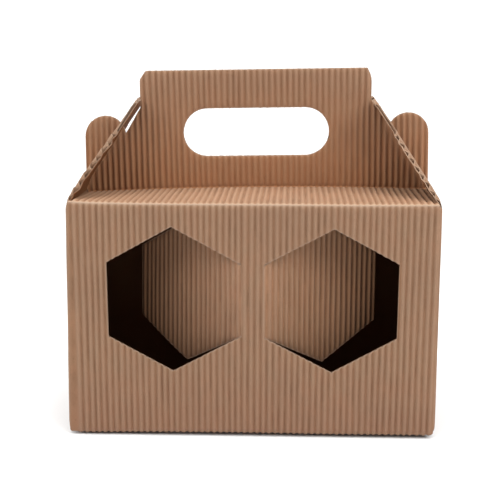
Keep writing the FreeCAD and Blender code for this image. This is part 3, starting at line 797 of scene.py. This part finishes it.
carton = "carton"
long_rows = (about(V_BOTTOM, *NEAR) + wall_rows + about(V_TOP, *NEAR) + top_rows + about(V_SPLIT, *NEAR))
for side, name, fold in ((0, "front_wall", front_fold), (2, "rear_wall", rear_fold)):
    around = AROUND[side]
    place = panel_place(side, fold, FLAT_W, V_BOTTOM - 0.55, HIGH - 1.6)
    cols = columns(-SEAM_W, SEAM_W, around)
    loops = [long_outline()] + (windows() if side == 0 else [])
    ob = build(name, cols, long_rows, loops, place, around, LONG_CREASES,
               still=(V_BOTTOM - 0.6, V_SPLIT), roof_from=V_TOP)
    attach(ob, carton)
    # handle layer
    rows = (about(V_SPLIT, *NEAR) + steps(V_UP + 5, V_UP + 17, 6) + steps(V_UP + 18.5, V_UP + 49, 1.7)
            + steps(V_UP + 50.5, V_UP + 66, 7.5) + [V_UP + 68.0])
    lo, hi = (-98.3, 98.1) if side == 0 else (-98.1, 98.3)
    loops = handle_loops(flip=1.0 if side == 0 else -1.0)
    ob = build(name.replace("wall", "handle"), columns(lo, hi, around), rows,
               loops, place, around, LONG_CREASES + [(v_handle(28.0), 20.0, 0.70, 0.0)],
               still=(V_SPLIT,), outer="handle",
               crushed=[loops[0], loops[1] + loops[1][:1]])
    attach(ob, carton)
    # bottom flap
    if side == 0:
        end = V_BOTTOM - 0.785 - (HALF_D - 1.0 - 8.0)
        tip = V_BOTTOM - 0.785 - (HALF_D - 1.0 + 20.0) - 0.2
        poly = [(97.9, V_BOTTOM - 0.6), (96.6, V_BOTTOM - 3), (96.2, end + 2), (94.5, end), (27.5, end), (27.0, end - 1.5),
                (26.0, tip + 6), (20.0, tip)]
        loops = [poly + [(-x, v) for x, v in poly[::-1]]]
        rows = about(V_BOTTOM, *NEAR) + steps(end, V_BOTTOM - 6, 9) + steps(tip, end, 3.0)
    else:
        end = V_BOTTOM - 0.785 - (HALF_D - 1.0 + 7.6)
        notch = V_BOTTOM - 0.785 - (HALF_D - 1.0 - 6.0)
        poly = [(97.9, V_BOTTOM - 0.6), (96.6, V_BOTTOM - 3), (96.2, end + 2), (94.5, end), (31.5, end), (30.0, end + 1.5),
                (29.0, notch)]
        loops = [poly + [(-x, v) for x, v in poly[::-1]]]
        rows = about(V_BOTTOM, *NEAR) + steps(end, V_BOTTOM - 6, 9)
    ob = build(name.replace("wall", "bottom_flap"), columns(-97.9, 97.9, around), rows, loops,
               place, around, LONG_CREASES, still=(V_BOTTOM - 0.6,))
    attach(ob, carton)

# ---------------------------------------------------------------- end walls with their flaps
def left_bow(r, y):
    """How far the left flap stands out from its flat position."""
    out = 1.0 * (1 - np.exp(-(np.clip(r, 0, None) / 6.0) ** 1.5)) - 0.45 * ease((r - 37) / 14)
    return out + LEFT_TWIST * np.clip(y + 20, 0, None) * ease((r - 30) / 20)


def right_bow(r, y):
    r = np.clip(r, 0, None)
    return -0.028 * r + 0.35 * np.sin(np.pi * r / 60) + 0.40 * ease((r - 26) / 20) + 0.0 * y


LEFT_TWIST = 0.012
OPEN = {"left": 0.62, "right": 0.42}
SLACK = {"left": 0.046, "right": 0.030}
FRAY = {"left": 0.46, "right": 0.36}
BOWS = {"left": left_bow, "right": right_bow}
for side, word, body, lean in ((3, "left", "end_flap_left", 33.5), (1, "right", "end_flap_right", 31.5)):
    around = AROUND[side]
    radius = HINGE / math.tan(math.radians(lean / 2))
    fold = Fold(-54.0, 2.8, 180).line(HALF_W - 1.0 - 54.0).bend(1.0, -90)
    v0 = fold.v
    fold.line(HIGH - MID - HINGE - 3.8).bend(radius, -lean).line(80).shift(3.8 - v0)
    crease_lo = 3.8 - math.pi / 4
    bend_len = radius * math.radians(lean)
    v_hinge = HIGH - MID - HINGE + bend_len / 2
    v_r = HIGH - MID - HINGE + bend_len - HINGE      # v of R = 0 on the flap

    def up(r, v_r=v_r):
        return v_r + r

    creases = [(crease_lo, 1.5, 0.5, 0.2), (v_hinge, 1.5, 0.5, 0.5)]

    def warp(x, uu, zz, s, v, v_r=v_r, lean=lean, bow=BOWS[word], sg=(1 if word == "left" else -1),
             slack=SLACK[word]):
        # y of the part's frame is -s at the left end and s at the right one
        r = v - v_r
        out = np.where(r > 0, bow(r, -sg * s), 0.0)
        # the front half hangs a little lower than the middle
        half = np.interp(r, (0, 38, 62), (51.5, 25.0, 17.0))
        out = out + slack * np.clip(-sg * s + half, 0, half + 6) * ease((r - 1.0) / 8.0)
        out = out + 0.22 * np.exp(-(near_cut(s, v, [outline]) / 1.8) ** 2) * wander(v + 9.0 * sg) * ease((r - 2.0) / 5.0)
        a = math.radians(lean)
        return x, uu - out * math.cos(a), zz + out * math.sin(a)

    def thick(s, v, v_r=v_r, swell=OPEN[word]):
        # the board opens up where it has been cut and bent over
        ragged = 1 + 0.75 * np.exp(-(near_cut(s, v, [outline]) / 1.8) ** 2) * lumps(v)
        return 1 + swell * ease((v - v_r - 1.0) / 7.0) * (1 - 0.55 * ease((v - v_r - 36.0) / 8.0)) * ragged

    place = panel_place(side, fold, FLAT_D, crease_lo - 0.55, HIGH - 1.95, warp, thick)
    right = [(51.6, crease_lo), (52.0, crease_lo + 0.5), (SEAM_D, crease_lo + 1.3), (SEAM_D, HIGH - 2.6),
             (51.4, HIGH - 2.0), (51.4, up(0.9)), (51.9, up(1.4)), (24.9, up(38.3)), (24.4, up(39.6)), (21.7, up(40.9)),
             (20.7, up(43.2))]
    right += [(x, up(r)) for x, r in arc_pts(16.9, 58.6, 3.3, 0, 90, 5)]
    right += [(2.5, up(61.9)), (2.1, up(59.4))]
    outline = right + [(-x, v) for x, v in right[::-1]]
    slot = [(2.6, up(1.3)), (2.6, up(46.6)), (1.8, up(47.6))]
    slot = slot + [(-x, v) for x, v in slot[::-1]]
    rows = (about(crease_lo, *NEAR) + steps(8, 120, 10) + about(v_hinge, *NEAR)
            + steps(v_hinge + 5, up(60), 5.0) + [up(47.6)])
    ob = build("%s_end" % word, columns(-SEAM_D, SEAM_D, around), rows, [outline, slot], place,
               around, creases, still=(crease_lo,), fray=FRAY[word], pale_from=v_hinge + 0.4,
               heavy_from=v_hinge + 1.0, cut="cut_%s" % word)
    sg = -1 if word == "left" else 1
    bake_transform(ob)
    # the small flap folded in over the floor
    tip = crease_lo - math.pi / 4 - (HALF_W - 1.0 - 54.0)
    poly = [(51.6, crease_lo), (50.4, crease_lo - 4), (29.0, tip + 1.2), (27.5, tip)]
    ob = build("%s_bottom_flap" % word, columns(-51.6, 51.6, around),
               about(crease_lo, *NEAR) + steps(tip, crease_lo - 6, 8),
               [poly + [(-x, v) for x, v in poly[::-1]]], place, around, creases,
               still=(crease_lo,))
    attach(ob, carton)

# ---------------------------------------------------------------- window flaps
for word, sg, push, body, lift, bow, twist in (
        ("left", -1, 35.0, "window_flap_left", 1.9, (-0.098, 0.00124), 0.035),
        ("right", 1, 29.0, "window_flap_right", 0.6, (0.026, -0.00010), 0.004)):
    a = math.radians(push)
    radius = HINGE / math.tan(a / 2)
    bend_len = radius * a

    def place(s, v, t, sg=sg, a=a, radius=radius, bend_len=bend_len, bow=bow, lift=lift, twist=twist):
        run = np.abs(s) - WIN_EDGE
        ang = np.clip(run / radius, 0, a)
        x = WIN_EDGE + radius * np.sin(ang)
        u = -HALF_D + radius * (1 - np.cos(ang))
        over = np.maximum(run - bend_len, 0)
        under = np.minimum(run, 0)
        # the flap has a lasting curl, and its free end rides up a little
        curl = bow[0] * over + bow[1] * over ** 2 + twist * (v - 75.6) * over / 71.0
        x = x + over * math.cos(a) + under - curl * math.sin(a)
        u = u + over * math.sin(a) + curl * math.cos(a)
        v = v + lift * (over / 71.0) ** 2
        off = t - MID
        return np.stack([sg * (x + np.sin(ang) * off), u - np.cos(ang) * off, v], 1)

    def out(x, bend_len=bend_len, sg=sg):
        return sg * (WIN_EDGE + bend_len + x - 7.2 - HINGE)

    k = 0.4
    (_, z0), (x1, z1), (x2, z2), (x3, z3), (x4, z4), (_, z5) = WINDOW[sg]
    nose, far = SHORT[sg]
    hexa = [(sg * WIN_EDGE, z0 + 0.2), (out(x1 - nose), z1 + 0.3), (out(x2 - far), z2 + k),
            (out(x3 - far), z3 - k), (out(x4), z4 - k * 1.15), (sg * WIN_EDGE, z5 - k)]
    lo, hi = sorted((sg * WIN_EDGE, out(max(x2, x3) - far)))
    fine = [sg * (WIN_EDGE + q) for q in (0.25, 0.5, 0.8, 1.1, 1.4, 1.7, 2.05)]
    cols = sorted(columns(lo, hi, 0.0, per=9) + fine)
    ob = build("window_flap_%s" % word, cols, steps(36.5, 114.5, 1.7),
               [hexa], place, 0.0, (), liner_step=3, fray=0.06, outer="flap_%s" % word,
               crushed=[hexa])
    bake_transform(ob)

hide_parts("folded_carton")
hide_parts("left_end_flap")
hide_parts("right_end_flap")
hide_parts("left_window_flap")
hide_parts("right_window_flap")

# ---------------------------------------------------------------- floor, light and camera
scene = bpy.context.scene
fm = bpy.data.meshes.new("floor")
fm.from_pydata([(-6, -6, -0.00212), (6, -6, -0.00212), (6, 0.4, -0.00212), (-6, 0.4, -0.00212)], [], [(0, 1, 2, 3)])
floor = bpy.data.objects.new("floor", fm)
scene.collection.objects.link(floor)
mat = bpy.data.materials.new("studio_floor")
mat.use_nodes = True
b = mat.node_tree.nodes["Principled BSDF"]
b.inputs["Base Color"].default_value = (0.62, 0.62, 0.62, 1)
b.inputs["Roughness"].default_value = 0.9
b.inputs["Specular IOR Level"].default_value = 0.1
# far out, the floor melts into the backdrop
tree = mat.node_tree
place = tree.nodes.new("ShaderNodeTexCoord")
reach = tree.nodes.new("ShaderNodeVectorMath")
reach.operation = "LENGTH"
far = tree.nodes.new("ShaderNodeMapRange")
far.interpolation_type = "SMOOTHSTEP"
for i, val in enumerate((0.8, 2.2, 0.0, 1.0)):
    far.inputs[i + 1].default_value = val
apart = tree.nodes.new("ShaderNodeSeparateXYZ")
behind = tree.nodes.new("ShaderNodeMapRange")
behind.interpolation_type = "SMOOTHSTEP"
for i, val in enumerate((0.16, 0.39, 0.0, 1.0)):
    behind.inputs[i + 1].default_value = val
either = tree.nodes.new("ShaderNodeMath")
either.operation = "MAXIMUM"
clear = tree.nodes.new("ShaderNodeBsdfTransparent")
melt = tree.nodes.new("ShaderNodeMixShader")
tree.links.new(place.outputs["Object"], reach.inputs[0])
tree.links.new(reach.outputs["Value"], far.inputs[0])
tree.links.new(place.outputs["Object"], apart.inputs[0])
tree.links.new(apart.outputs[1], behind.inputs[0])
tree.links.new(far.outputs[0], either.inputs[0])
tree.links.new(behind.outputs[0], either.inputs[1])
tree.links.new(either.outputs[0], melt.inputs[0])
tree.links.new(b.outputs[0], melt.inputs[1])
tree.links.new(clear.outputs[0], melt.inputs[2])
tree.links.new(melt.outputs[0], tree.nodes["Material Output"].inputs["Surface"])
fm.materials.append(mat)

world = bpy.data.worlds.new("studio")
scene.world = world
world.use_nodes = True
bg = world.node_tree.nodes["Background"]
bg.inputs["Color"].default_value = (1, 1, 1, 1)
# the white backdrop is brighter than the room in front of it
turn = world.node_tree.nodes.new("ShaderNodeTexCoord")
split = world.node_tree.nodes.new("ShaderNodeSeparateXYZ")
soft = world.node_tree.nodes.new("ShaderNodeMapRange")
soft.interpolation_type = "SMOOTHSTEP"
for i, val in enumerate((-0.35, 0.35, 0.42, 1.25)):
    soft.inputs[i + 1].default_value = val
world.node_tree.links.new(turn.outputs["Generated"], split.inputs[0])
world.node_tree.links.new(split.outputs[1], soft.inputs[0])
world.node_tree.links.new(soft.outputs[0], bg.inputs["Strength"])


def area(name, loc, look, size, power, size_y=None):
    d = bpy.data.lights.new(name, "AREA")
    d.energy = power
    d.shape = "RECTANGLE"
    d.size = size
    d.size_y = size_y or size
    o = bpy.data.objects.new(name, d)
    scene.collection.objects.link(o)
    o.location = loc
    from mathutils import Vector
    direction = Vector(look) - Vector(loc)
    o.rotation_euler = direction.to_track_quat("-Z", "Y").to_euler()
    return o


area("overhead", (0.0, 0.0, 1.5), (0.0, 0.0, 0.1), 0.9, 16.6)
area("left_box", (-0.9, -0.6, 1.1), (0.0, 0.0, 0.08), 1.3, 20.2)
area("right_box", (0.9, -0.6, 1.1), (0.0, 0.0, 0.08), 1.3, 26.6)

yaw, pitch, roll = 0.045493, -0.206987, 0.003524
cy, sy = math.cos(yaw), math.sin(yaw)
cp, sp = math.cos(pitch), math.sin(pitch)
cr, sr = math.cos(roll), math.sin(roll)
Rz = np.array([[cy, -sy, 0], [sy, cy, 0], [0, 0, 1]])
Rx = np.array([[1, 0, 0], [0, cp, -sp], [0, sp, cp]])
Ry = np.array([[cr, 0, sr], [0, 1, 0], [-sr, 0, cr]])
R = Rz @ Rx @ Ry
from mathutils import Matrix
cam = bpy.data.cameras.new("camera")
cam.sensor_fit = "HORIZONTAL"
cam.sensor_width = 36.0
cam.lens = 1026.91835 * 36.0 / 500.0
cam.clip_start = 0.01
cam.clip_end = 50
co = bpy.data.objects.new("camera", cam)
scene.collection.objects.link(co)
M = Matrix(((R[0, 0], R[0, 2], -R[0, 1]), (R[1, 0], R[1, 2], -R[1, 1]), (R[2, 0], R[2, 2], -R[2, 1])))
co.matrix_world = Matrix.Translation((0.02297936, -0.58645202, 0.21526566)) @ M.to_4x4()
scene.camera = co
scene.view_settings.view_transform = "Standard"
scene.view_settings.look = "None"

bpy.context.view_layer.update()
